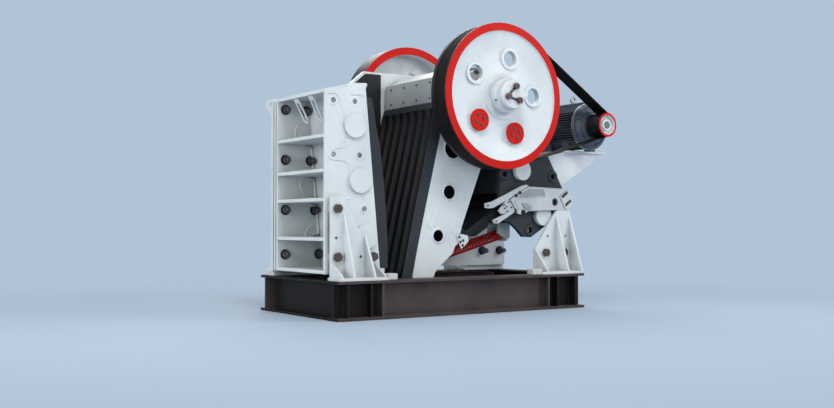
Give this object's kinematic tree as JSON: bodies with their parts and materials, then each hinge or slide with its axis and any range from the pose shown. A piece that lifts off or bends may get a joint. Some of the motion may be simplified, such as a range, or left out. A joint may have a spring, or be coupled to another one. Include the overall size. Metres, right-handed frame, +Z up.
{
  "type": "jaw crusher",
  "caption": "Stationary single-toggle jaw crusher on a base frame, with two heavy flywheels, a belt-driven eccentric shaft, a rear-mounted motor and one side plate left off.",
  "frame": {"origin": "middle of the anchor-bolt pattern, on the underside of the base frame", "axes": "+Z up, +X from the fixed jaw towards the motor, -Y towards the side without its cheek plate"},
  "size_m": [3.463, 2.19, 2.78],
  "materials": {
    "base_paint": "satin",
    "casting_paint": "satin",
    "jaw_steel": "rough",
    "wheel_paint": "satin",
    "plug_red": "satin",
    "machined_steel": "machined",
    "dark_paint": "satin",
    "light_paint": "satin",
    "spring_steel": "satin",
    "motor_paint": "satin",
    "pulley_iron": "machined",
    "belt_rubber": "matt",
    "stop_rubber": "matt"
  },
  "bodies": {
    "frame": {"adjuster_arm_far": "light_paint", "adjuster_arm_near": "light_paint", "adjusting_wedges": "dark_paint", "arm_end_plate_far": "light_paint", "arm_end_plate_near": "light_paint", "base_beam_far": "base_paint", "base_beam_near": "base_paint", "base_cross_beam_front": "base_paint", "base_cross_beam_rear": "base_paint", "bearing_housing_far": "casting_paint", "bearing_housing_near": "casting_paint", "cheek_liners": "jaw_steel", "cheek_plate_far": "casting_paint", "drive_belt": "belt_rubber", "fixed_jaw_die": "jaw_steel", "foot_bracket_front_far": "casting_paint", "foot_bracket_front_near": "casting_paint", "foot_bracket_rear_far": "casting_paint", "foot_bracket_rear_near": "casting_paint", "front_lifting_lugs": "casting_paint", "front_panel": "casting_paint", "front_ribs": "casting_paint", "front_wall_far": "casting_paint", "front_wall_near": "casting_paint", "motor_bracket": "casting_paint", "motor_fan_cowl": "motor_paint", "motor_frame": "motor_paint", "motor_front_bell": "motor_paint", "rear_back_panel": "dark_paint", "rear_cross_member": "dark_paint", "rear_front_panel": "dark_paint", "rear_top_panel": "dark_paint", "rear_wall_far": "dark_paint", "rear_wall_near": "dark_paint", "rubber_stops": "stop_rubber", "spring_seat": "light_paint", "tension_spring": "spring_steel", "terminal_box": "motor_paint", "toggle_seat_upper": "dark_paint", "wedge_guide_far": "light_paint", "wedge_guide_near": "light_paint"},
    "rotor": {"eccentric_shaft": "machined_steel", "drive_sheave": "wheel_paint", "flywheel": "wheel_paint", "balance_plugs": "plug_red", "shaft_end_caps": "machined_steel"},
    "motor_rotor": {"motor_pulley": "pulley_iron", "motor_shaft": "machined_steel"},
    "swing_jaw": {"swing_jaw": "casting_paint", "jaw_keeper_plate": "light_paint", "moving_jaw_die": "jaw_steel", "die_clamp_bar": "dark_paint", "jaw_guard": "light_paint", "toggle_seat_lower": "dark_paint", "tension_rod": "machined_steel"},
    "toggle": {"toggle_plate": "dark_paint"}
  },
  "joints": [
    {"name": "rotor_spin", "type": "hinge", "parent": "frame", "child": "rotor", "pos_m": [0.29, 0, 2.08], "axis": [0, 1, 0], "continuous": true},
    {"name": "motor_spin", "type": "hinge", "parent": "frame", "child": "motor_rotor", "pos_m": [1.655, 0, 1.88], "axis": [0, 1, 0], "continuous": true},
    {"name": "jaw_swing", "type": "hinge", "parent": "frame", "child": "swing_jaw", "pos_m": [0.29, 0, 2.08], "axis": [0, 1, 0], "range_deg": [0, 0.9]},
    {"name": "toggle_swing", "type": "hinge", "parent": "frame", "child": "toggle", "pos_m": [0.59, 0, 0.985], "axis": [0, 1, 0], "range_deg": [0, 1.53]}
  ],
  "couplings": [
    {"joint": "motor_spin", "follows": "rotor_spin", "ratio": 5.8},
    {"joint": "toggle_swing", "follows": "jaw_swing", "ratio": 1.678}
  ]
}
